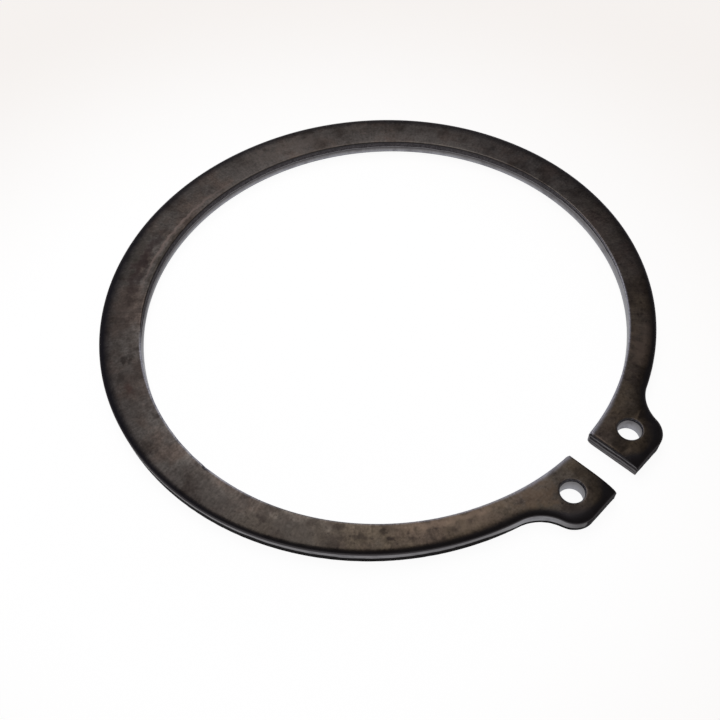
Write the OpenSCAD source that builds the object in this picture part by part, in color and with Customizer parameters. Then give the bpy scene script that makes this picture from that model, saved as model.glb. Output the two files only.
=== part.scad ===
// External retaining ring for a 95 mm shaft, stamped from 3 mm spring steel.
// The seat circle is centred on the origin, the underside lies at Z 0 and the gap looks along -Y.
// The die drew the outline's top edge down in a wide roll. Below it the sheared wall is first
// smooth, then broken, and the broken band leans in towards the underside. The seat was cut the
// other way up, so its wide roll lies on the underside, and its top edge is only rounded off.

/* [Ring] */
// Diameter of the inner circle, which grips the bottom of the shaft groove
seat_d = 89.5; // [75:0.5:110]
// Thickness of the sheet
thickness = 3; // [2.2:0.1:4]
// Width of the band opposite the gap, where it is widest
back_w = 8.6; // [7:0.1:11]
// Width that the band runs down to beside the gap
front_w = 4.5; // [4:0.1:6]

/* [Lugs] */
// Distance across the gap between the two lugs
gap_w = 5.7; // [4.5:0.1:8]
// Height of the lugs above the inner circle
lug_h = 9.5; // [9:0.1:11]
// Length of a lug's straight outer edge, from the gap to the start of its corner
lug_flat = 5.9; // [5:0.1:8]
// Radius of a lug's outer corner
corner_r = 4; // [3:0.1:5]
// Radius of the hollow that runs from a lug back into the band
hollow_r = 7; // [5:0.1:9]

/* [Plier holes] */
// Diameter of the two holes for the plier tips
hole_d = 4; // [3.5:0.1:4.5]
// Distance between the centres of the two holes
hole_pitch = 15.6; // [14.5:0.1:17]
// Height of the hole centres above the inner circle
hole_h = 4.45; // [4:0.05:5]

/* [Sheared edge] */
// Width over which the outer edge is drawn down
outer_roll_w = 2.1; // [1:0.1:2.4]
// Depth to which the outer edge is drawn down
outer_roll_d = 0.6; // [0.3:0.05:0.9]
// Width of the roll on the underside, along the seat
seat_roll_w = 1.2; // [0.5:0.1:1.8]
// Depth of the roll on the underside
seat_roll_d = 0.5; // [0.2:0.05:0.8]
// Width of the small rounding at the top of the seat, the gap and the holes
round_w = 0.4; // [0.2:0.05:0.8]
// Depth of the small rounding
round_d = 0.3; // [0.1:0.05:0.6]
// Height of the broken band along the foot of the outer wall
break_h = 1.1; // [0.5:0.1:1.3]
// Distance by which the broken band leans in at the underside
break_in = 0.1; // [0.02:0.02:0.2]

/* [Hidden] */
$fn = 120;
// Straight steps along the curve of a rolled edge
ROLL_STEPS = 8;
// Overshoot of a punch past the faces it cuts through
CUT = 1;
// Spare width of the uncut sheet behind the widest part of its edge
SPARE = 2;
// One curve of the outline bites this deep into the next. The two then cross at a fine angle
// where they would otherwise only touch, which leaves no seam between them.
BITE = 0.02;

// The outer circle is eccentric: its centre lies off the seat's, away from the gap
seat_r = seat_d / 2;
outer_r = seat_r + (back_w + front_w) / 2;
outer_c = [0, (back_w - front_w) / 2];

// Straight outer edge of both lugs, and the centres of the right lug's corner and hole
lug_y = -seat_r - lug_h;
corner_c = [gap_w / 2 + lug_flat, lug_y + corner_r - BITE];
hole_c = [hole_pitch / 2, -seat_r - hole_h];

// The hollow meets the outer circle and the lug's corner. Its centre lies where a circle about
// the first, of reach_outer, crosses a circle about the second, of reach_corner.
reach_outer = outer_r + hollow_r - BITE;
reach_corner = corner_r + hollow_r - BITE;
span = norm(corner_c - outer_c);
to_corner = (corner_c - outer_c) / span;
along = (reach_outer ^ 2 - reach_corner ^ 2 + span ^ 2) / (2 * span);
aside = sqrt(reach_outer ^ 2 - along ^ 2);
hollow_c = outer_c + along * to_corner + aside * [-to_corner.y, to_corner.x];

// How far the sheet reaches in from its outer edge before the seat is punched out
depth = max(back_w, lug_h) + SPARE;

// Quarter ellipse from the wall, at x 0, up and in to the top face
function roll(w, d) = [
    for (i = [0:ROLL_STEPS])
        let (a = 90 * i / ROLL_STEPS)
        [-w * (1 - cos(a)), thickness - d * (1 - sin(a))]
];

// Section through the outer edge, with the sheet left of x 0: broken band, smooth band, roll
function edge_section(reach) = concat(
    [[-reach, 0], [-break_in, 0], [0, break_h]],
    roll(outer_roll_w, outer_roll_d),
    [[-reach, thickness]]
);

// Upper part of a punch's section, with its half width r and the rounding that it leaves
function punch_top(r) = concat(
    [for (p = roll(round_w, round_d)) [r - p.x, p.y]],
    [[r + round_w, thickness + CUT], [0, thickness + CUT]]
);

// Section of a punch that leaves a square edge on the underside
function punch_section(r) = concat([[0, -CUT], [r, -CUT]], punch_top(r));

// Section of the seat's punch, which leaves the wide roll on the underside
function seat_section() =
    let (edge = roll(seat_roll_w, seat_roll_d))
    concat(
        [[0, -CUT], [seat_r + seat_roll_w, -CUT]],
        [for (i = [ROLL_STEPS:-1:0]) [seat_r - edge[i].x, thickness - edge[i].y]],
        punch_top(seat_r)
    );

// Section of the punch for the hollow beside a lug, which leaves the outer edge's section
function hollow_section() = concat(
    [[0, -CUT], [hollow_r + break_in, -CUT], [hollow_r + break_in, 0], [hollow_r, break_h]],
    [for (p = roll(outer_roll_w, outer_roll_d)) [hollow_r - p.x, p.y]],
    [[hollow_r + outer_roll_w, thickness + CUT], [0, thickness + CUT]]
);

module at(place) {
    translate([place.x, place.y, 0]) children();
}

module both_sides() {
    for (side = [0, 1]) mirror([side, 0, 0]) children();
}

// The outer edge's section turned into a disc, or into a ring where reach is less than r
module turned_edge(r, reach) {
    rotate_extrude() polygon([for (p = edge_section(reach)) [r + p.x, p.y]]);
}

// The straight outer edge from the one lug's corner to the other's, before the gap is cut
module straight_edge() {
    translate([-corner_c.x, lug_y, 0])
        rotate([90, 0, 90])
            linear_extrude(height = 2 * corner_c.x) mirror([1, 0]) polygon(edge_section(depth));
}

// The flat of a lug between its corner, the hollow and the band, out to the lines that join
// the centres of those three curves
module lug_web() {
    in_band = outer_c + (outer_r - depth) / reach_outer * (hollow_c - outer_c);
    linear_extrude(height = thickness)
        polygon([corner_c, hollow_c, in_band, [0, in_band.y], [0, corner_c.y]]);
}

module round_punch(r) {
    rotate_extrude() polygon(punch_section(r));
}

module seat_punch() {
    rotate_extrude() polygon(seat_section());
}

module hollow_punch() {
    rotate_extrude() polygon(hollow_section());
}

module gap_punch() {
    both_sides()
        translate([0, lug_y - CUT, 0])
            rotate([-90, 0, 0])
                linear_extrude(height = lug_h + 2 * CUT) mirror([0, 1]) polygon(punch_section(gap_w / 2));
}

module ring() {
    color("#3a3531")
        difference() {
            union() {
                at(outer_c) turned_edge(outer_r, depth);
                straight_edge();
                both_sides() {
                    at(corner_c) turned_edge(corner_r, corner_r);
                    lug_web();
                }
            }
            both_sides() {
                at(hollow_c) hollow_punch();
                at(hole_c) round_punch(hole_d / 2);
            }
            seat_punch();
            gap_punch();
        }
}

ring();
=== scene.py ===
import math

import bpy
import numpy as np
from mathutils import Matrix, Vector, geometry, noise
from mathutils.kdtree import KDTree


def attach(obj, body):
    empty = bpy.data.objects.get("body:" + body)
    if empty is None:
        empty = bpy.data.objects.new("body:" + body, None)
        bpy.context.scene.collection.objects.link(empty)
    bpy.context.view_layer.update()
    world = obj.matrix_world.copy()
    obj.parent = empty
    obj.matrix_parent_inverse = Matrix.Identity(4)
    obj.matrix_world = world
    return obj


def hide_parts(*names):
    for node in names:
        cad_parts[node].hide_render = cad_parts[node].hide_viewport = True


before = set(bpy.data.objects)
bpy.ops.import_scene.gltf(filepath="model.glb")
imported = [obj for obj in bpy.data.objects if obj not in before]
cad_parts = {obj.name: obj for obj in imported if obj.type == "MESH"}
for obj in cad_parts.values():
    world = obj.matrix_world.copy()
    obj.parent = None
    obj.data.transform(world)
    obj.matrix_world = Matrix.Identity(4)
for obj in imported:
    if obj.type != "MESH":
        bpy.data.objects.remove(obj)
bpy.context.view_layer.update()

MM = 0.001  # the ring's sizes are in millimetres, and the scene is in metres
FULL_TURN = 2 * math.pi


def angle_of(vector):
    return math.atan2(vector[1], vector[0])


def flip(point):
    return np.array([-point[0], point[1]])


# ---- The ring's sizes, as in the part's source ----

THICK = 3.0
SEAT_R = 44.75
OUTER_R = 51.29
OUTER_C = np.array([0.0, 2.055])
HALF_GAP = 2.85
LUG_Y = -54.25
CORNER_R = 4.0
CORNER_C = np.array([8.75, LUG_Y + CORNER_R])
HOLLOW_R = 7.0
HOLE_R = 2.0
HOLE_C = np.array([7.8, -49.2])


def hollow_centre():
    """Centre of the right hollow, which touches the outer circle and the lug's corner."""
    to_outer, to_corner = OUTER_R + HOLLOW_R, CORNER_R + HOLLOW_R
    span = np.linalg.norm(CORNER_C - OUTER_C)
    ahead = (CORNER_C - OUTER_C) / span
    along = (to_outer**2 - to_corner**2 + span**2) / (2 * span)
    aside = math.sqrt(to_outer**2 - along**2)
    return OUTER_C + along * ahead + aside * np.array([-ahead[1], ahead[0]])


HOLLOW_C = hollow_centre()
KNEE = angle_of(HOLLOW_C - CORNER_C)  # where the lug's corner runs into the hollow
HOLLOW_FOOT = angle_of(CORNER_C - HOLLOW_C)  # the same place seen from the hollow's centre
HOLLOW_HEAD = angle_of(OUTER_C - HOLLOW_C)  # and the hollow's other end, at the waist
WAIST = angle_of(HOLLOW_C - OUTER_C)  # where the hollow runs into the outer circle
SEAT_Y = -math.sqrt(SEAT_R**2 - HALF_GAP**2)  # where the gap cuts the seat

# ---- How the cut edges are rounded over ----

# Width and depth of each roll. The die drew the outer edge's top down in a wide soft curve.
# The seat was cut the other way up, so its wide roll lies below
EDGE_ROLL = (2.1, 0.6)
SEAT_ROLL = (0.4, 0.3)
SEAT_UNDER_ROLL = (1.2, 0.5)
GAP_ROLL = (0.15, 0.12)
HOLE_ROLL = (0.3, 0.26)
LUG_REACH, LUG_ROLL = 15.0, (0.18, 0.42)  # the seat's top roll is that much larger by the gap
TAIL_REACH, TAIL_DROP = 1.3, 0.035  # how softly the wide roll fades into the flat face
TIP_REACH, TIP_DROP = (1.7, 2.6), 0.42  # the blank bends down further at the square tips
BEND_REACH, BEND_DROP = 3.2, 0.16  # and a little further round the lugs' outer corners
BEND_AT = CORNER_R * np.array([0.6, -0.8])  # the middle of that bend, from a corner's centre
UNEVEN, UNEVEN_RUN = 0.07, 11  # the wide roll's depth varies by that share, over that length
# How wide the outer roll is, as a share. This table and the later ones go round the ring by
# degrees clockwise from +Y
SPREAD = {
    0: 1.15, 30: 1.05, 60: 1.1, 100: 1.0, 130: 0.85, 150: 0.95, 170: 1.05, 190: 1.0,
    205: 0.82, 225: 0.52, 250: 0.4, 275: 0.5, 300: 1.0, 315: 1.38, 345: 1.25,
}

# ---- The bands that a punch leaves down a cut edge ----

FACE, SMOOTH, TORN = 0, 1, 2  # the finishes, in the order of the ring's materials
# From the top down: the height that a band ends at, its finish and its rows of points. The
# last one ends at the foot
BANDS = {
    "edge": [(1.4, SMOOTH, 7), (None, TORN, 9)],
    "flat": [(1.9, TORN, 4), (None, TORN, 12)],  # the lugs' straight outer edges
    "seat": [(1.65, TORN, 7), (None, SMOOTH, 9)],
    "gap": [
        (2.25, TORN, 3),
        (1.95, SMOOTH, 2),
        (1.35, TORN, 3),
        (0.85, SMOOTH, 3),
        (0.65, TORN, 2),
        (None, SMOOTH, 3),
    ],
    "hole": [(2.45, TORN, 3), (None, SMOOTH, 13)],
}
WALL_ROWS = 16  # in all the bands of an edge together
LEAST_BAND = 0.05  # no band above the last one is lower than this
END_REACH = 0.3  # an outer edge this close to the lugs' ends is one of the straight ones
# How light the bath left the torn and the smooth bands, from 0 to 1
TORN_TONE = {"edge": 0.08, "flat": 0.22, "seat": 0.75, "gap": 0.42, "hole": 0.2}
SMOOTH_TONE = {"edge": 0.48, "seat": 1.0, "gap": 0.16, "hole": 0.8}
# Painted shade: some smooth bands darken up the wall, which leaves them lighter by the floor as a
# painted reflection of it: from this height, up to this one, by so much
PAINTED_WALL_SHADE = {"seat": (0.4, 1.6, 1.0), "hole": (0.5, 2.6, 0.45)}
# How much higher the outer edge's smooth band ends round the ring, and how much lighter it
# is. In the hollows beside the lugs it runs deeper, and round the lugs' corners it is darker
BORDER = {
    60: 0, 152: 0.1, 159: -0.55, 201: -0.55, 208: 0.15, 225: -0.1, 240: 0.05, 255: 0.3,
    270: 0.5, 300: 0.1,
}
LIGHTER = {
    152: 0, 159: 0.16, 165: 0.16, 168: -0.3, 192: -0.3, 195: 0.16, 201: 0.16, 206: -0.1,
    213: -0.1, 224: 0, 258: 0, 266: -0.14,
}
BORDER_WAVE, BORDER_RUN = 0.13, 3.1  # how far the border of two bands wanders, over what run
JAG_SHARE, JAG_RUN = 0.6, 0.8  # the same of its finer jags, as a share of that
WALL_WAVE, WALL_RUN, WALL_RISE = 0.012, 1.3, 2  # how deep, long and high the whole wall waves
TORN_IN, TORN_LEAN = 0.035, 0.09  # how deep a torn band lies, and leans in if it is the last
GRAIN_IN, GRAIN_RUN, GRAIN_RISE = 0.035, 0.35, 0.3  # how deep, long and high its grain is
GRAIN_SEED, LOOP_SEED = 7, 13.7  # what sets the grain, and each closed edge, off from the rest

# ---- Nicks, and the painted highlight on the rims ----

# Nicks along one stretch of the seat's top edge: their depth, how far in they reach, how far
# apart they are, and the depth and the closeness of the finer ones as shares
NICK_FROM, NICK_TO = math.radians(-112), math.radians(-66)
NICK_DEPTH, NICK_REACH, NICK_STEP = 0.28, 0.45, 1.5
FINE_NICK_DEPTH, FINE_NICK_STEP = 0.3, 2.7
# How strong the painted pale highlight on the rims is round the ring: strong on the half toward
# the camera, faint on the far half. Where it is, the seat's smooth band reaches higher by the
# first number below, as a painted reflection; the painted shade up that wall is weaker and the
# edge above it is sharper, both by a share
RIM_HIGHLIGHT = {
    -165: 1, -115: 0.5, -100: 1, -56: 1, -50: 0.4, -44: 0.1, 85: 0.1, 105: 0.4, 120: 0.6,
    135: 1,
}
HIGHLIGHT_LIFT, HIGHLIGHT_SHADE_CUT, HIGHLIGHT_SHARP = 1.1, 0.7, 0.6
HIGHLIGHT_REACH, HIGHLIGHT_REACH_LUG = 0.34, 0.46  # how far in that goes, and how much further by the gap
HOLE_HIGHLIGHT = 0.5  # and how strong it is at the holes, as a share

# ---- How closely the mesh is laid ----

STEP = 0.4  # spacing of the points along the outline
FINE_STEP = STEP * 0.75  # and round the lugs
HOLE_STEP = 0.17  # and round a hole
FILL, UNDER_FILL = 0.85, 1.6  # spacing across the flat faces, above and below
LEAST_APART, UNDER_LEAST_APART = 0.012, 0.04  # closer to an edge a row's point is dropped
MERGED = 1e-6  # points closer than this count as one
SQUARE_FROM = math.radians(60)  # from this turn on, the outline has a corner
SHARP_FROM = math.radians(38)  # from this angle on, two faces meet in a hard edge
QUARTER = np.radians(np.arange(7.5, 91, 7.5))  # the turns down a roll that get a row


def down_roll(roll, turns):
    """How far in from its edge the rows of points down a roll lie."""
    return roll[0] * (1 - np.cos(turns))


# How far in from each kind of edge the rows of points run
TOP_ROWS = {
    "edge": [*down_roll(EDGE_ROLL, QUARTER), 2.5, 3.0],
    "seat": [0.02, 0.06, *down_roll(SEAT_ROLL, QUARTER[3::2]), 0.55, 0.7, 0.85, 1.1],
    "gap": [0.02, 0.06, 0.15, 0.35],
    "hole": [*down_roll(HOLE_ROLL, QUARTER[1::2]), 0.55],
}
UNDER_ROWS = dict.fromkeys(TOP_ROWS, [0.35, 0.9])
UNDER_ROWS["seat"] = [*down_roll(SEAT_UNDER_ROLL, QUARTER[2::2]), 1.6]
ROW_SLACK = 0.02  # a point this much nearer to another edge than its row is still kept
# And how far from each the even field of points begins
TOP_CLEAR = {"edge": 3.3, "seat": 1.5, "gap": 0.6, "hole": 0.8}
UNDER_CLEAR = dict.fromkeys(TOP_ROWS, UNDER_FILL)


# ---- The outline, gone round with the steel on the left ----


def arc(centre, radius, start, end, step, outward=1):
    """Points on an arc and their normals, without the last one."""
    count = max(3, round(abs(end - start) * radius / step))
    turn = start + (end - start) * np.arange(count) / count
    ways = np.stack([np.cos(turn), np.sin(turn)], 1)
    return centre + radius * ways, outward * ways


def line(start, end, step):
    """The same on a straight edge."""
    start, end = np.array(start, float), np.array(end, float)
    length = np.linalg.norm(end - start)
    count = max(2, round(length / step))
    ahead = (end - start) / length
    points = start + np.outer(np.arange(count) / count, end - start)
    return points, np.tile([ahead[1], -ahead[0]], (count, 1))


def outline():
    """The closed outline: points, normals, kinds of cut edge, and which are square corners."""
    foot, head = HOLLOW_FOOT % FULL_TURN, HOLLOW_HEAD % FULL_TURN
    seat_from = math.atan2(SEAT_Y, -HALF_GAP)
    seat_to = math.atan2(SEAT_Y, HALF_GAP)
    parts = [
        ("edge", line((HALF_GAP, LUG_Y), (CORNER_C[0], LUG_Y), FINE_STEP)),
        ("edge", arc(CORNER_C, CORNER_R, -math.pi / 2, KNEE, FINE_STEP)),
        ("edge", arc(HOLLOW_C, HOLLOW_R, foot, head, FINE_STEP, -1)),
        ("edge", arc(OUTER_C, OUTER_R, WAIST, math.pi - WAIST, STEP)),
        ("edge", arc(flip(HOLLOW_C), HOLLOW_R, math.pi - head, math.pi - foot, FINE_STEP, -1)),
        ("edge", arc(flip(CORNER_C), CORNER_R, math.pi - KNEE, 1.5 * math.pi, FINE_STEP)),
        ("edge", line((-CORNER_C[0], LUG_Y), (-HALF_GAP, LUG_Y), FINE_STEP)),
        ("gap", line((-HALF_GAP, LUG_Y), (-HALF_GAP, SEAT_Y), FINE_STEP)),
        ("seat", arc(0, SEAT_R, seat_from, seat_to - FULL_TURN, STEP, -1)),
        ("gap", line((HALF_GAP, SEAT_Y), (HALF_GAP, LUG_Y), FINE_STEP)),
    ]
    points = np.vstack([p for _, (p, _) in parts])
    normals = np.vstack([n for _, (_, n) in parts])
    kinds = [kind for kind, (p, _) in parts for _ in p]
    # at a square corner the normal points between those of the two sides
    before = np.roll(normals, 1, axis=0)
    corner = (normals * before).sum(1) < math.cos(SQUARE_FROM)
    normals[corner] += before[corner]
    normals /= np.linalg.norm(normals, axis=1)[:, None]
    return points, normals, kinds, corner


def hole(centre):
    """The same for a hole."""
    points, normals = arc(centre, HOLE_R, FULL_TURN, 0, HOLE_STEP, -1)
    return points, normals, ["hole"] * len(points), np.zeros(len(points), bool)


# ---- How far a point lies from each kind of edge, and how high the faces are there ----


def mirrored(p):
    """The points, with those of the left half laid over on the right."""
    return np.stack([abs(p[:, 0]), p[:, 1]], 1)


def from_line(p, start, end):
    start, end = np.array(start, float), np.array(end, float)
    run = end - start
    share = np.clip((p - start) @ run / (run @ run), 0, 1)
    return np.linalg.norm(p - start - share[:, None] * run, axis=1)


def from_arc(p, centre, radius, start, end):
    ray = p - centre
    turn = (np.arctan2(ray[:, 1], ray[:, 0]) - start) % FULL_TURN
    ends = [centre + radius * np.array([math.cos(a), math.sin(a)]) for a in (start, end)]
    off = np.minimum(*(np.linalg.norm(p - e, axis=1) for e in ends))
    on = turn <= (end - start) % FULL_TURN
    return np.where(on, abs(np.linalg.norm(ray, axis=1) - radius), off)


def distances(p):
    """From each point to the outer edge, the seat, the gap's faces and the holes."""
    half = mirrored(p)
    outer = [
        from_line(half, (HALF_GAP, LUG_Y), (CORNER_C[0], LUG_Y)),
        from_arc(half, CORNER_C, CORNER_R, -math.pi / 2, KNEE),
        from_arc(half, HOLLOW_C, HOLLOW_R, HOLLOW_HEAD, HOLLOW_FOOT),
        from_arc(half, OUTER_C, OUTER_R, WAIST, math.pi / 2),
    ]
    return {
        "edge": np.minimum.reduce(outer),
        "seat": abs(np.linalg.norm(p, axis=1) - SEAT_R),
        "gap": from_line(half, (HALF_GAP, SEAT_Y), (HALF_GAP, LUG_Y)),
        "hole": abs(np.linalg.norm(half - HOLE_C, axis=1) - HOLE_R),
    }


def rolled(distance, roll, spread=1):
    """Drop of a quarter-ellipse roll at a distance from its edge."""
    width, depth = roll[0] * spread, roll[1]
    share = np.clip(1 - distance / width, 0, 1)
    return depth * (1 - np.sqrt(1 - share**2))


def waves(p, size, seed):
    """Smooth noise of about that size, from -1 to 1."""
    return np.array([noise.noise(Vector((x / size, y / size, seed))) for x, y in p])


def round_ring(p, table):
    """A table's value at each point, by its place round the ring."""
    turn = np.degrees(np.arctan2(p[:, 0], p[:, 1]))
    return np.interp(turn, list(table), list(table.values()), period=360)


def near_gap(p):
    return np.exp(-((p[:, 0] / LUG_REACH) ** 4)) * (p[:, 1] < 0)


def nicks(p, far):
    """How deep the nicks are at each point, by its distance from the seat."""
    turn = np.arctan2(p[:, 0], p[:, 1])
    there = (far < 3 * NICK_REACH) & (turn > NICK_FROM) & (turn < NICK_TO)
    drop = np.zeros(len(p))
    if there.any():
        run = np.stack([turn[there] * SEAT_R / NICK_STEP, 0 * turn[there]], 1)
        fine = waves(run * FINE_NICK_STEP, size=1, seed=5.1)
        dent = np.clip(waves(run, size=1, seed=31.7) + FINE_NICK_DEPTH * fine, 0, 1)
        drop[there] = NICK_DEPTH * dent * np.exp(-((far[there] / NICK_REACH) ** 2))
    return drop


def top_height(p):
    far, half = distances(p), mirrored(p)
    uneven = 1 + UNEVEN * waves(p, size=UNEVEN_RUN, seed=2.3)
    tip = (half - [HALF_GAP, LUG_Y]) / TIP_REACH
    bend = half - CORNER_C - BEND_AT
    # the seat's edge is sharper where the painted rim highlight is strong
    lug, sharp = near_gap(p), 1 - HIGHLIGHT_SHARP * round_ring(p, RIM_HIGHLIGHT)
    seat_roll = [size * sharp + more * lug for size, more in zip(SEAT_ROLL, LUG_ROLL)]
    drop = (
        rolled(far["edge"], EDGE_ROLL, round_ring(p, SPREAD)) * uneven
        + TAIL_DROP * np.exp(-far["edge"] / TAIL_REACH)
        + rolled(far["seat"], seat_roll)
        + rolled(far["gap"], GAP_ROLL)
        + rolled(far["hole"], HOLE_ROLL)
        + TIP_DROP * np.exp(-(tip**2).sum(1))
        + BEND_DROP * np.exp(-(bend**2).sum(1) / BEND_REACH**2)
        + nicks(p, far["seat"])
    )
    return THICK - drop


def under_height(p):
    return rolled(distances(p)["seat"], SEAT_UNDER_ROLL)


# ---- Triangles across the faces ----


def within(p, loops):
    """Whether each point lies inside the outer loop and outside the holes."""
    odd = np.zeros(len(p), bool)
    for loop in loops:
        ends = np.roll(loop, -1, axis=0)
        for (x0, y0), (x1, y1) in zip(loop, ends):
            if y0 != y1:
                spans = (p[:, 1] > y0) != (p[:, 1] > y1)
                odd ^= spans & (p[:, 0] < x0 + (p[:, 1] - y0) * (x1 - x0) / (y1 - y0))
    return odd


def thinned(points, taken, least):
    """The points that keep their distance from those taken and from each other."""
    tree = KDTree(len(points) + len(taken))
    for i, p in enumerate(np.vstack([taken, points])):
        tree.insert((*p, 0), i)
    tree.balance()
    first = len(taken)
    dropped = set()
    for i, p in enumerate(points, first):
        near = tree.find_range((*p, 0), least)
        if any(j < i and j not in dropped for _, j, _ in near):
            dropped.add(i)
    return np.array([p for i, p in enumerate(points, first) if i not in dropped])


def rows_inside(loops, rows):
    """Rows of points set in from each edge, as close together as its roll asks."""
    found = []
    for points, normals, kinds, corner in loops:
        kinds = np.array(kinds)
        for kind, insets in rows.items():
            use = (kinds == kind) & ~corner
            if not use.any():
                continue
            for inset in insets:
                p = points[use] - inset * normals[use]
                nearest = np.minimum.reduce(list(distances(p).values()))
                found.append(p[nearest > inset - ROW_SLACK])
    return np.vstack(found)


def grid_inside(step, clear):
    """An even field of points that stays clear of every edge."""
    across = np.arange(-OUTER_R, OUTER_R, step)
    up = np.arange(LUG_Y, OUTER_R + OUTER_C[1], step * math.sqrt(3) / 2)
    p = np.array([(x + (i % 2) * step / 2, y) for i, y in enumerate(up) for x in across])
    p = p[np.linalg.norm(p, axis=1) > SEAT_R]
    far = distances(p)
    return p[np.logical_and.reduce([far[kind] > clear[kind] for kind in far])]


def joined(loops, extra):
    """Triangles over the loops' points and the extra ones, by index, seen from above."""
    points = np.vstack([*loops, extra])
    edges, start = [], 0
    for loop in loops:
        count = len(loop)
        edges += [(start + i, start + (i + 1) % count) for i in range(count)]
        start += count
    _, _, faces, origin, _, _ = geometry.delaunay_2d_cdt(
        [Vector(p) for p in points], edges, [], 0, MERGED
    )
    faces = np.array([[origin[v][0] for v in face] for face in faces])
    a, b, c = (points[faces[:, k]] for k in range(3))
    faces = faces[within((a + b + c) / 3, loops)]
    a, b, c = (points[faces[:, k]] for k in range(3))
    turned = (b - a)[:, 0] * (c - a)[:, 1] - (b - a)[:, 1] * (c - a)[:, 0] < 0
    faces[turned] = faces[turned][:, ::-1]
    return faces


def top_face(loops):
    """The points of the top face in plan, its edges' first, and its triangles."""
    edges = [points for points, _, _, _ in loops]
    rows = rows_inside(loops, TOP_ROWS)
    rows = thinned(rows[within(rows, edges)], np.vstack(edges), LEAST_APART)
    field = grid_inside(FILL, TOP_CLEAR)
    field = thinned(field[within(field, edges)], rows, FILL / 2)
    extra = np.vstack([rows, field])
    return np.vstack([*edges, extra]), joined(edges, extra)


def under_face(loops, feet):
    """The points of the underside in plan between the walls' feet, and its triangles."""
    extra = np.vstack([rows_inside(loops, UNDER_ROWS), grid_inside(UNDER_FILL, UNDER_CLEAR)])
    extra = thinned(extra[within(extra, feet)], np.vstack(feet), UNDER_LEAST_APART)
    return extra, joined(feet, extra)


# ---- The cut edges ----


def bands_of(kind, point, square):
    """The bands at a point go by its kind of edge, but for the lugs' straight outer edges."""
    at_end = point[1] < LUG_Y + END_REACH
    if square:
        return "flat" if at_end else "seat"
    return "flat" if kind == "edge" and at_end else kind


def wander(run, seed, number):
    """How far a band's lower border lies above its usual place."""
    wave = noise.noise(Vector((run / BORDER_RUN, seed, number)))
    wave += JAG_SHARE * noise.noise(Vector((run / JAG_RUN, seed, number)))
    return BORDER_WAVE * wave


def set_in(run, z, seed):
    """How deep the wall lies behind the outline."""
    return WALL_WAVE * (1 + noise.noise(Vector((run / WALL_RUN, z / WALL_RISE, seed))))


def torn_in(run, z, seed, row, rows, last):
    """How much deeper a torn band lies, by which of its rows this is."""
    grain = noise.noise(Vector((run / GRAIN_RUN, z / GRAIN_RISE, seed + GRAIN_SEED)))
    share = row / rows if last else math.sin(math.pi * row / rows)
    lean = (TORN_LEAN if last else TORN_IN) * share
    return lean + GRAIN_IN * abs(grain) * min(1, 2 * share)


def tone_of(kind, look, z, lights, highlight):
    """How light a band is at a height: its own tone, less a painted shade that darkens some
    smooth bands up the wall.
    """
    if look == TORN:
        return TORN_TONE[kind]
    tone = SMOOTH_TONE[kind] + lights
    if kind in PAINTED_WALL_SHADE:
        foot, head, most = PAINTED_WALL_SHADE[kind]
        # where the painted rim highlight is, the seat's painted shade is weaker
        if kind == "seat":
            most *= 1 - HIGHLIGHT_SHADE_CUT * highlight
        tone -= most * min(max((z - foot) / (head - foot), 0), 1)
    return tone


def wall(points, normals, kinds, corner, tops, feet, seed):
    """Rows of points down a cut edge, the finish of each square between them, and their tones,
    with painted shade up some smooth bands.
    """
    count = len(points)
    steps = np.linalg.norm(np.diff(points, axis=0), axis=1)
    runs = np.concatenate([[0], np.cumsum(steps)])
    border, lighter = round_ring(points, BORDER), round_ring(points, LIGHTER)
    highlight = round_ring(points, RIM_HIGHLIGHT)
    grid = np.zeros((WALL_ROWS + 1, count, 3))
    finish = np.zeros((WALL_ROWS, count), int)
    tones = np.zeros((WALL_ROWS + 1, count))
    for i in range(count):
        kind, run, high = bands_of(kinds[i], points[i], corner[i]), runs[i], tops[i]
        # where the painted rim highlight is, the seat's smooth band reaches higher, a painted
        # reflection
        higher = {"edge": border[i], "seat": HIGHLIGHT_LIFT * highlight[i]}.get(kind, 0)
        lights = lighter[i] if kind == "edge" else 0
        row, grid[0, i] = 0, (*points[i], high)
        for number, (low, look, rows) in enumerate(BANDS[kind]):
            last = low is None
            if last:
                low = feet[i]
            else:
                low = min(low + higher + wander(run, seed, number), high - LEAST_BAND)
            for k in range(1, rows + 1):
                row += 1
                z = max(high + (low - high) * k / rows, 0.0)
                inset = set_in(run, z, seed)
                if look == TORN:
                    inset += torn_in(run, z, seed, k, rows, last)
                grid[row, i] = (*(points[i] - inset * normals[i]), z)
                finish[row - 1, i] = look
                tones[row, i] = tone_of(kind, look, z, lights, highlight[i])
            high = low
    return grid, finish, tones


# ---- The ring ----


def rim_highlight(p):
    """How strong the painted pale highlight is on the top face beside the seat and the holes."""
    far = distances(p)
    wide = HIGHLIGHT_REACH + HIGHLIGHT_REACH_LUG * near_gap(p)
    seat = np.exp(-((far["seat"] / wide) ** 2))
    return round_ring(p, RIM_HIGHLIGHT) * (seat + HOLE_HIGHLIGHT * np.exp(-((far["hole"] / HIGHLIGHT_REACH) ** 2)))


def placed(name, data):
    """A new object in the scene."""
    thing = bpy.data.objects.new(name, data)
    bpy.context.scene.collection.objects.link(thing)
    return thing


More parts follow.
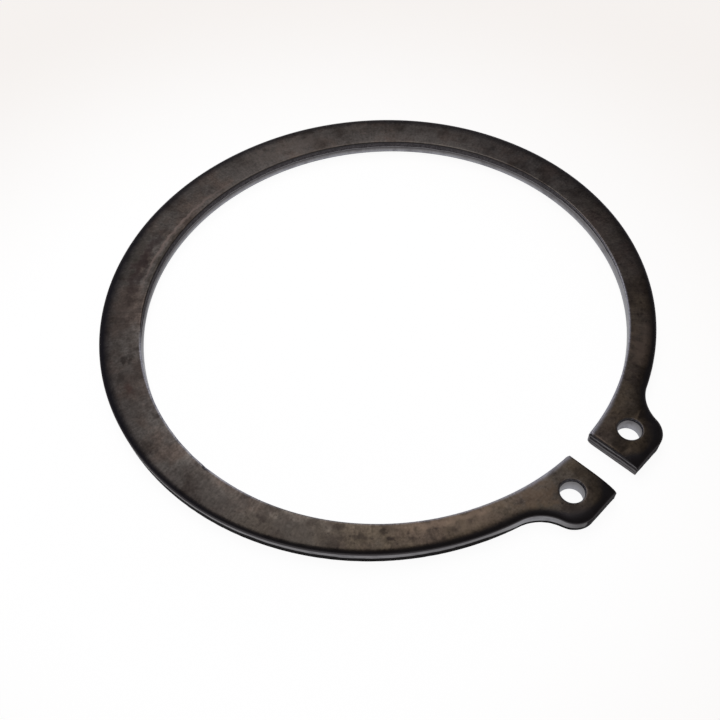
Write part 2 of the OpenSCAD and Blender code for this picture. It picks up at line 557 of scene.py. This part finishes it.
def build_ring():
    loops = [outline(), hole(HOLE_C), hole(flip(HOLE_C))]
    plan, top = top_face(loops)
    heights = top_height(plan)
    places, tone_and_shade = [np.column_stack([plan, heights])], [rim_highlight(plan)]
    faces, looks = [tuple(face) for face in top], [FACE] * len(top)
    first, total, feet, foot_ids = 0, len(plan), [], []
    for number, (points, normals, kinds, corner) in enumerate(loops):
        count, seed = len(points), LOOP_SEED * number
        tops = heights[first : first + count]
        lows = under_height(points)
        grid, finish, tones = wall(points, normals, kinds, corner, tops, lows, seed)
        places.append(grid[1:].reshape(-1, 3))
        tone_and_shade.append(tones[1:].reshape(-1))
        lower = total + np.arange(WALL_ROWS * count).reshape(WALL_ROWS, count)
        ids = np.vstack([first + np.arange(count), lower])
        for row in range(WALL_ROWS):
            for i in range(count):
                j = (i + 1) % count
                faces.append((ids[row, j], ids[row, i], ids[row + 1, i], ids[row + 1, j]))
                looks.append(finish[row, i])
        feet.append(grid[-1][:, :2])
        foot_ids.append(ids[-1])
        first += count
        total += WALL_ROWS * count

    low_points, below = under_face(loops, feet)
    places.append(np.column_stack([low_points, under_height(low_points)]))
    tone_and_shade.append(np.zeros(len(low_points)))
    ids = np.concatenate([*foot_ids, total + np.arange(len(low_points))])
    faces += [tuple(ids[face[::-1]]) for face in below]
    looks += [FACE] * len(below)

    mesh = bpy.data.meshes.new("ring_blank")
    mesh.from_pydata((np.vstack(places) * MM).tolist(), [], [list(map(int, f)) for f in faces])
    mesh.polygons.foreach_set("material_index", looks)
    mesh.polygons.foreach_set("use_smooth", [True] * len(faces))
    # each point's tone: the painted rim highlight on the top face, and on the walls the bands'
    # own tone with painted shade up some of them
    tone_and_shade_layer = mesh.attributes.new("tone_and_shade", "FLOAT", "POINT")
    tone_and_shade_layer.data.foreach_set("value", np.concatenate(tone_and_shade))
    mesh.validate()
    mesh.set_sharp_from_angle(angle=SHARP_FROM)
    return placed("circlip_ring", mesh)


# ---- Finishes ----


def linear(code):
    """An sRGB hex colour as linear red, green, blue and alpha."""
    parts = [int(code[i : i + 2], 16) / 255 for i in (1, 3, 5)]
    return [*(c / 12.92 if c <= 0.04045 else ((c + 0.055) / 1.055) ** 2.4 for c in parts), 1]


def add(tree, kind, settings, inputs):
    """Adds a node with its settings; each input takes a link or a value."""
    made = tree.nodes.new("ShaderNode" + kind)
    for name, value in settings.items():
        setattr(made, name, value)
    for name, value in inputs.items():
        if isinstance(value, bpy.types.NodeSocket):
            tree.links.new(value, made.inputs[name])
        else:
            made.inputs[name].default_value = value
    return made.outputs


def new_finish(name):
    finish = bpy.data.materials.new(name)
    finish.use_nodes = True
    finish.node_tree.nodes.clear()
    return finish, finish.node_tree


MID_R = 48.0  # middle of the band, where lengths round the ring are true once unrolled
# Settings that many nodes share. Inputs go by number where names repeat: a mix of colours has
# its share at 0 and the colours at 6 and 7, and a range takes a value from 1 and 2 to 3 and 4
FOUR_WAY = {"noise_dimensions": "4D"}
SOFTLY = {"interpolation_type": "SMOOTHSTEP"}
OVER = {"data_type": "RGBA"}
TIMES = {"data_type": "RGBA", "blend_type": "MULTIPLY"}
MOST_OF_IT = {1: 0.3, 2: 0.7}  # nearly all of a noise lies between these values


def in_millimetres(tree):
    place = add(tree, "TexCoord", {}, {})["Object"]
    return add(tree, "VectorMath", {"operation": "SCALE"}, {0: place, "Scale": 1 / MM})[0]


def ring_places(tree):
    """Place in millimetres, the same unrolled round and out from the seat, and the height."""
    mm = in_millimetres(tree)
    x, y, z = add(tree, "SeparateXYZ", {}, {0: mm})
    turn = add(tree, "Math", {"operation": "ARCTAN2"}, {0: x, 1: y})[0]
    along = add(tree, "Math", {"operation": "MULTIPLY"}, {0: turn, 1: MID_R})[0]
    flat = add(tree, "CombineXYZ", {}, {0: x, 1: y})[0]
    out = add(tree, "VectorMath", {"operation": "LENGTH"}, {0: flat})["Value"]
    return mm, add(tree, "CombineXYZ", {}, {0: along, 1: out})[0], out, y, z


def blotched(tree, colour, place, seed, size, start, full, most, tone):
    """Lays a tone over a colour in soft blotches of about that many millimetres."""
    inputs = {"Vector": place, "W": seed, "Scale": 1 / size, "Detail": 4.0, "Roughness": 0.6}
    cloud = add(tree, "TexNoise", FOUR_WAY, inputs)[0]
    share = add(tree, "MapRange", SOFTLY, {0: cloud, 1: start, 2: full, 3: 0.0, 4: most})[0]
    return add(tree, "Mix", OVER, {0: share, 6: colour, 7: linear(tone)})[2]


def scored(tree, place, seed, x, y):
    """Fine lines, as a noise drawn out to so many millimetres each way."""
    drawn = add(tree, "VectorMath", {"operation": "DIVIDE"}, {0: place, 1: (x, y, 1)})[0]
    inputs = {"Vector": drawn, "W": seed, "Scale": 1.0, "Detail": 3.0, "Roughness": 0.65}
    return add(tree, "TexNoise", FOUR_WAY, inputs)[0]


def toned(tree, colour, value, dark, light):
    """Darkens and lightens a colour by a noise's value."""
    shade = add(tree, "MapRange", SOFTLY, {0: value, **MOST_OF_IT, 3: dark, 4: light})[0]
    return add(tree, "Mix", TIMES, {0: 1.0, 6: colour, 7: shade})[2]


def filmed(finish, colour, rough, relief, depth, grazing):
    """Steel under the bath's film, which takes some of the light that grazes it."""
    tree = finish.node_tree
    bump = add(tree, "Bump", {}, {"Strength": 1.0, "Distance": depth, "Height": relief})[0]
    inputs = {"Base Color": colour, "Metallic": 1.0, "Roughness": rough, "Normal": bump}
    inputs["Specular Tint"] = (grazing, grazing, grazing, 1)
    shader = add(tree, "BsdfPrincipled", {}, inputs)[0]
    add(tree, "OutputMaterial", {}, {"Surface": shader})
    return finish


# Clouds in the bath's film, and the smaller specks: seed, size in millimetres, the noise at
# which they begin and are full, how strong the clouds are, their tone
CLOUDS = [
    (1.0, 12.0, 0.42, 0.62, 0.6, "#625d59"),
    (2.0, 6.0, 0.45, 0.66, 0.65, "#5b4e47"),
    (3.0, 4.5, 0.46, 0.68, 0.75, "#3c3531"),
]
SPECKS = [
    (4.0, 2.0, 0.54, 0.7, "#322b2a"),
    (5.0, 0.8, 0.57, 0.7, "#2c2524"),
    (10.0, 0.5, 0.64, 0.7, "#282120"),
]
FRAY = 3.6  # how far a spot's edge strays, as a share of its reach across
SPOT_FULL, SPOT_GONE = 0.3, 1.1  # the shares of its reach at which it is full and gone
# Stains and rubbed spots on the top face: degrees clockwise from +Y, distance from the seat's
# centre, how far they reach round the ring and across it, how strong they are, their tone
SPOTS = [
    (-66.0, 47.4, 11.0, 4.2, 0.42, "#433c39"),
    (-46.0, 48.4, 8.0, 3.6, 0.4, "#433b38"),
    (-117.0, 47.6, 9.0, 3.4, 0.5, "#453f3b"),
    (-100.0, 48.0, 7.0, 3.0, 0.35, "#4a4543"),
    (-133.9, 46.2, 0.85, 0.7, 0.7, "#2c2624"),
    (-135.3, 47.4, 0.9, 0.7, 0.8, "#262020"),
    (-129.2, 47.2, 1.8, 0.7, 0.6, "#2c2626"),
    (-125.0, 46.0, 1.3, 0.65, 0.5, "#322b2a"),
    (-138.8, 46.4, 0.5, 0.5, 0.6, "#2c2624"),
    (-139.3, 47.6, 0.6, 0.5, 0.5, "#2c2624"),
    (-146.8, 47.0, 1.0, 0.8, 0.6, "#302a27"),
    (-150.9, 46.9, 0.5, 0.6, 0.6, "#302a27"),
    (-57.4, 47.9, 1.6, 1.3, 0.7, "#2b2624"),
    (-62.3, 49.1, 1.6, 1.0, 0.5, "#302b29"),
    (-65.6, 48.2, 2.2, 1.4, 0.5, "#4a3632"),
    (-74.7, 45.5, 1.3, 0.6, 0.5, "#302b29"),
    (-29.0, 48.3, 12.0, 1.5, 0.7, "#352b2b"),
    (-27.0, 50.6, 10.0, 1.4, 0.45, "#3a3733"),
    (-25.0, 45.2, 14.0, 0.55, 0.65, "#38342f"),
    (-18.0, 46.3, 20.0, 0.4, 0.55, "#84756f"),
    (22.0, 48.5, 12.0, 3.0, 0.35, "#736963"),
    (75.0, 47.3, 2.0, 1.1, 0.4, "#2a2524"),
    (-148.0, 45.7, 13.0, 0.9, 0.45, "#8a7768"),
    (150.0, 47.3, 6.0, 2.8, 0.65, "#7d6e62"),
    (-151.0, 47.0, 6.0, 2.6, 0.3, "#7d6e61"),
    (-164.7, 47.3, 5.0, 2.6, 0.4, "#7a6654"),
    (-169.0, 51.8, 1.6, 1.0, 0.5, "#332c28"),
    (-176.0, 48.0, 1.8, 1.3, 0.4, "#352e2a"),
    (165.5, 52.0, 3.2, 2.4, 0.65, "#2a2526"),
    (175.8, 51.5, 1.4, 0.5, 0.55, "#8a7a68"),
    (167.5, 49.8, 1.3, 0.4, 0.5, "#857564"),
]


def spotted(tree, colour, unrolled, ragged):
    """Lays the spots over a colour, with their edges frayed by a noise."""
    strays = {0: ragged, 1: (FRAY, FRAY, 0.0), 2: (-FRAY / 2, -FRAY / 2, 0.0)}
    strays = add(tree, "VectorMath", {"operation": "MULTIPLY_ADD"}, strays)[0]
    for degrees, from_centre, along, across, most, tone in SPOTS:
        frayed = {0: strays, 1: (across, across, 0.0), 2: unrolled}
        away = add(tree, "VectorMath", {"operation": "MULTIPLY_ADD"}, frayed)[0]
        spot = (math.radians(degrees) * MID_R, from_centre, 0.0)
        away = add(tree, "VectorMath", {"operation": "SUBTRACT"}, {0: away, 1: spot})[0]
        reach = (along, across, 1.0)
        away = add(tree, "VectorMath", {"operation": "DIVIDE"}, {0: away, 1: reach})[0]
        far = add(tree, "VectorMath", {"operation": "LENGTH"}, {0: away})["Value"]
        reached = {0: far, 1: SPOT_GONE, 2: SPOT_FULL, 3: 0.0, 4: most}
        share = add(tree, "MapRange", SOFTLY, reached)[0]
        colour = add(tree, "Mix", OVER, {0: share, 6: colour, 7: linear(tone)})[2]
    return colour


def blackened_ground_steel():
    """Spring steel strip, ground flat, hardened and blackened in an oiled phosphate bath.

    The bath leaves a dark brown, cloudy film with a dull sheen. Fine grinding lines run
    across the band and show through it, with small dark pits, smudges and faint streaks
    from handling. The rolled edge was never ground, so it is smoother and darker. On the
    half toward the camera the small rounded rims carry a painted pale highlight.
    """
    finish, tree = new_finish("blackened_ground_steel")
    mm, unrolled, out, y, z = ring_places(tree)
    # the oil is browner towards the lugs and greyer at the back
    brown = add(tree, "MapRange", SOFTLY, {0: y, 1: 5.0, 2: -48.0, 3: 0.0, 4: 1.0})[0]
    browns = {0: brown, 6: linear("#55504d"), 7: linear("#5c5144")}
    colour = add(tree, "Mix", OVER, browns)[2]
    for cloud in CLOUDS:
        colour = blotched(tree, colour, mm, *cloud)
    # the back was handled less and shows fewer of the specks
    spotty = add(tree, "MapRange", SOFTLY, {0: y, 1: -25.0, 2: 25.0, 3: 0.6, 4: 0.25})[0]
    for *speck, tone in SPECKS:
        colour = blotched(tree, colour, mm, *speck, spotty, tone)
    inputs = {"Vector": mm, "W": 9.0, "Scale": 2.6, "Detail": 5.0}
    grain = add(tree, "TexNoise", FOUR_WAY, inputs)[0]
    colour = toned(tree, colour, grain, dark=0.8, light=1.19)
    # the real grinding lines are about 0.05 mm apart, and are drawn coarser to show
    lines = scored(tree, unrolled, seed=6.0, x=0.45, y=5.0)
    # over the lugs they run along the outer edge
    lug_lines = scored(tree, mm, seed=6.0, x=4.0, y=0.45)
    share = add(tree, "MapRange", SOFTLY, {0: y, 1: -41.0, 2: -46.0})[0]
    lines = add(tree, "Mix", {}, {0: share, 2: lines, 3: lug_lines})[0]
    streaks = scored(tree, unrolled, seed=7.0, x=26.0, y=0.7)
    colour = toned(tree, colour, lines, dark=0.88, light=1.11)
    colour = toned(tree, colour, streaks, dark=0.95, light=1.06)
    # handling has rubbed the band a little lighter beside the seat
    inner = add(tree, "MapRange", SOFTLY, {0: out, 1: 49.5, 2: 45.0, 3: 0.96, 4: 1.3})[0]
    colour = add(tree, "Mix", TIMES, {0: 1.0, 6: colour, 7: inner})[2]
    inputs = {"Vector": mm, "W": 8.0, "Scale": 0.7, "Detail": 2.5}
    ragged = add(tree, "TexNoise", FOUR_WAY, inputs)["Color"]
    colour = spotted(tree, colour, unrolled, ragged)
    # below the ground faces, whose heights are 0 and THICK, the skin is the mill's own
    off = add(tree, "Math", {"operation": "SUBTRACT"}, {0: z, 1: THICK / 2})[0]
    off = add(tree, "Math", {"operation": "ABSOLUTE"}, {0: off})[0]
    skin = add(tree, "MapRange", SOFTLY, {0: off, 1: THICK / 2 - 0.02, 2: THICK / 2 - 0.2})[0]
    colour = add(tree, "Mix", OVER, {0: skin, 6: colour, 7: linear("#403d3f")})[2]
    # on the rims a painted pale highlight shows first on the lines' crests
    rim = add(tree, "Attribute", {"attribute_name": "tone_and_shade"}, {})["Fac"]
    highlight = add(tree, "Math", {"operation": "MULTIPLY"}, {0: rim, 1: lines})[0]
    share = add(tree, "MapRange", SOFTLY, {0: highlight, 1: 0.05, 2: 0.6, 3: 0.0, 4: 0.85})[0]
    colour = add(tree, "Mix", OVER, {0: share, 6: colour, 7: linear("#b2b3bf")})[2]
    rough = add(tree, "MapRange", SOFTLY, {0: ragged, **MOST_OF_IT, 3: 0.3, 4: 0.4})[0]
    return filmed(finish, colour, rough, relief=lines, depth=4e-6, grazing=0.55)


def sheared_steel():
    """Where the punch slid past: steel burnished along the stroke, under the same bath.

    It is lighter and smoother than the faces, a cool grey with fine upright lines.
    """
    finish, tree = new_finish("sheared_steel_edge")
    mm = in_millimetres(tree)
    # the bands' own tone with painted shade up the wall; the lighter it is, the cooler the grey,
    # painted reflection included
    tone = add(tree, "Attribute", {"attribute_name": "tone_and_shade"}, {})["Fac"]
    tones = {0: tone, 6: linear("#312d2f"), 7: linear("#a4a2a4")}
    colour = add(tree, "Mix", OVER, tones)[2]
    cool = add(tree, "MapRange", SOFTLY, {0: tone, 1: 0.3, 2: 1.0})[0]
    colour = add(tree, "Mix", TIMES, {0: cool, 6: colour, 7: linear("#f3f7ff")})[2]
    colour = blotched(tree, colour, mm, 1.0, 2.4, 0.45, 0.7, 0.5, "#4a474a")
    # the real lines are a few hundredths of a millimetre apart, and are drawn coarser to show
    upright = add(tree, "VectorMath", {"operation": "MULTIPLY"}, {0: mm, 1: (1, 1, 0.12)})[0]
    inputs = {"Vector": upright, "W": 2.0, "Scale": 1 / 0.22, "Detail": 2.0}
    lines = add(tree, "TexNoise", FOUR_WAY, inputs)[0]
    colour = toned(tree, colour, lines, dark=0.9, light=1.08)
    rough = add(tree, "MapRange", SOFTLY, {0: lines, **MOST_OF_IT, 3: 0.3, 4: 0.44})[0]
    return filmed(finish, colour, rough, relief=lines, depth=3e-6, grazing=0.75)


def torn_steel():
    """Where the sheet broke away below the punch: a coarse grain, black from the bath.

    Its pits trap more of the light that grazes them.
    """
    finish, tree = new_finish("torn_steel_edge")
    # the real grain is about 0.1 mm wide, and is drawn coarser to show
    inputs = {"Vector": in_millimetres(tree), "W": 1.0, "Scale": 1 / 0.3, "Detail": 3.0}
    grain = add(tree, "TexNoise", FOUR_WAY, inputs)[0]
    share = add(tree, "MapRange", SOFTLY, {0: grain, 1: 0.35, 2: 0.7, 3: 0.0, 4: 0.65})[0]
    tone = add(tree, "Attribute", {"attribute_name": "tone_and_shade"}, {})["Fac"]
    tones = {0: tone, 6: linear("#100e0f"), 7: linear("#5a5659")}
    colour = add(tree, "Mix", OVER, tones)[2]
    colour = add(tree, "Mix", OVER, {0: share, 6: colour, 7: linear("#1c1a1b")})[2]
    return filmed(finish, colour, 0.6, relief=grain, depth=1.3e-5, grazing=0.5)


ring = build_ring()
for finish in (blackened_ground_steel(), sheared_steel(), torn_steel()):
    ring.data.materials.append(finish)
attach(ring, "root")
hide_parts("ring")

# ---- Floor, light and camera, all in metres ----

FLOOR_SIZE = 3.0
FLOOR_DROP = 0.00002
# The floor's painted glow, and the middle of its painted pool of light
FLOOR_GLOW = 0.94
GLOW_MIDDLE = (-0.025, 0, 0)
GLOW_FROM, GLOW_TO = 0.05, 0.135  # it fades between these distances from its middle
SENSOR, LENS = 36.0, 46.139  # in millimetres, as every camera's are
NEAREST = 0.01
EYE = Vector((-75.905, -79.094, 134.692)) * MM
AIM = Vector((-10.507, -4.486, 0.0)) * MM
ROLL = math.radians(5.494)


def pale_floor():
    """A white table that glows by itself, a painted glow so bright that hardly a shadow shows;
    the glow is a painted pool of light, a little dimmer and warmer further out.
    """
    finish, tree = new_finish("glowing_white_table")
    place = add(tree, "TexCoord", {}, {})["Object"]
    away = add(tree, "VectorMath", {"operation": "SUBTRACT"}, {0: place, 1: GLOW_MIDDLE})[0]
    far = add(tree, "VectorMath", {"operation": "LENGTH"}, {0: away})["Value"]
    share = add(tree, "MapRange", SOFTLY, {0: far, 1: GLOW_FROM, 2: GLOW_TO})[0]
    glow = add(tree, "Mix", OVER, {0: share, 6: linear("#ffffff"), 7: linear("#f4f0ed")})[2]
    inputs = {
        "Base Color": linear("#7c7c7c"),
        "Roughness": 0.9,
        "Emission Color": glow,
        "Emission Strength": FLOOR_GLOW,
    }
    shader = add(tree, "BsdfPrincipled", {}, inputs)[0]
    add(tree, "OutputMaterial", {}, {"Surface": shader})
    half = FLOOR_SIZE / 2
    sides = ((-1, -1), (1, -1), (1, 1), (-1, 1))
    mesh = bpy.data.meshes.new("floor")
    mesh.from_pydata([(x * half, y * half, -FLOOR_DROP) for x, y in sides], [], [(0, 1, 2, 3)])
    mesh.materials.append(finish)
    return placed("floor", mesh)


def way(azimuth, elevation):
    """Unit vector by its angle from +Y towards +X, and its angle above the floor."""
    a, e = math.radians(azimuth), math.radians(elevation)
    return Vector((math.sin(a) * math.cos(e), math.cos(a) * math.cos(e), math.sin(e)))


def soft_box(name, azimuth, elevation, distance, size, radiance, tint):
    """A rectangular lamp that faces the ring, by the brightness of its face."""
    lamp = bpy.data.lights.new(name, "AREA")
    lamp.shape = "RECTANGLE"
    lamp.size, lamp.size_y = size
    lamp.energy = radiance * math.pi * size[0] * size[1]
    lamp.color = linear(tint)[:3]
    made = placed(name, lamp)
    made.location = way(azimuth, elevation) * distance
    made.rotation_euler = (-made.location).to_track_quat("-Z", "Y").to_euler()


def dim_room():
    """A dim room that is pale near the floor, as a low backdrop would make it."""
    room = bpy.data.worlds.new("dim_room")
    room.use_nodes = True
    tree = room.node_tree
    tree.nodes.clear()
    way_out = add(tree, "TexCoord", {}, {})["Generated"]
    _, y, height = add(tree, "SeparateXYZ", {}, {0: way_out})
    back = add(tree, "MapRange", SOFTLY, {0: y, 1: -0.2, 2: 0.6})[0]
    tones = {0: back, 6: linear("#5f5c5c"), 7: linear("#636471")}
    dim = add(tree, "Mix", OVER, tones)[2]
    share = add(tree, "MapRange", SOFTLY, {0: height, 1: 0.25, 2: 0.12})[0]
    tone = add(tree, "Mix", OVER, {0: share, 6: dim, 7: linear("#ededee")})[2]
    background = add(tree, "Background", {}, {"Color": tone})[0]
    add(tree, "OutputWorld", {}, {"Surface": background})
    return room


def set_camera():
    """The camera where the photo was taken from, as fitted to the ring's outline there."""
    camera = bpy.data.cameras.new("camera")
    camera.sensor_width, camera.lens, camera.clip_start = SENSOR, LENS, NEAREST
    ahead = (AIM - EYE).normalized()
    right = ahead.cross(Vector((0, 0, 1))).normalized()
    up = right.cross(ahead)
    tilt = Matrix.Rotation(ROLL, 3, ahead)
    pose = Matrix((tilt @ right, tilt @ up, -ahead)).transposed().to_4x4()
    pose.translation = EYE
    eye = placed("camera", camera)
    eye.matrix_world = pose
    bpy.context.scene.camera = eye


pale_floor()
soft_box(
    "soft_box",
    azimuth=33,
    elevation=63,
    distance=0.7,
    size=(0.37, 0.65),
    radiance=1.2,
    tint="#fffdf9",
)
bpy.context.scene.world = dim_room()
set_camera()
bpy.context.scene.view_settings.view_transform = "Standard"
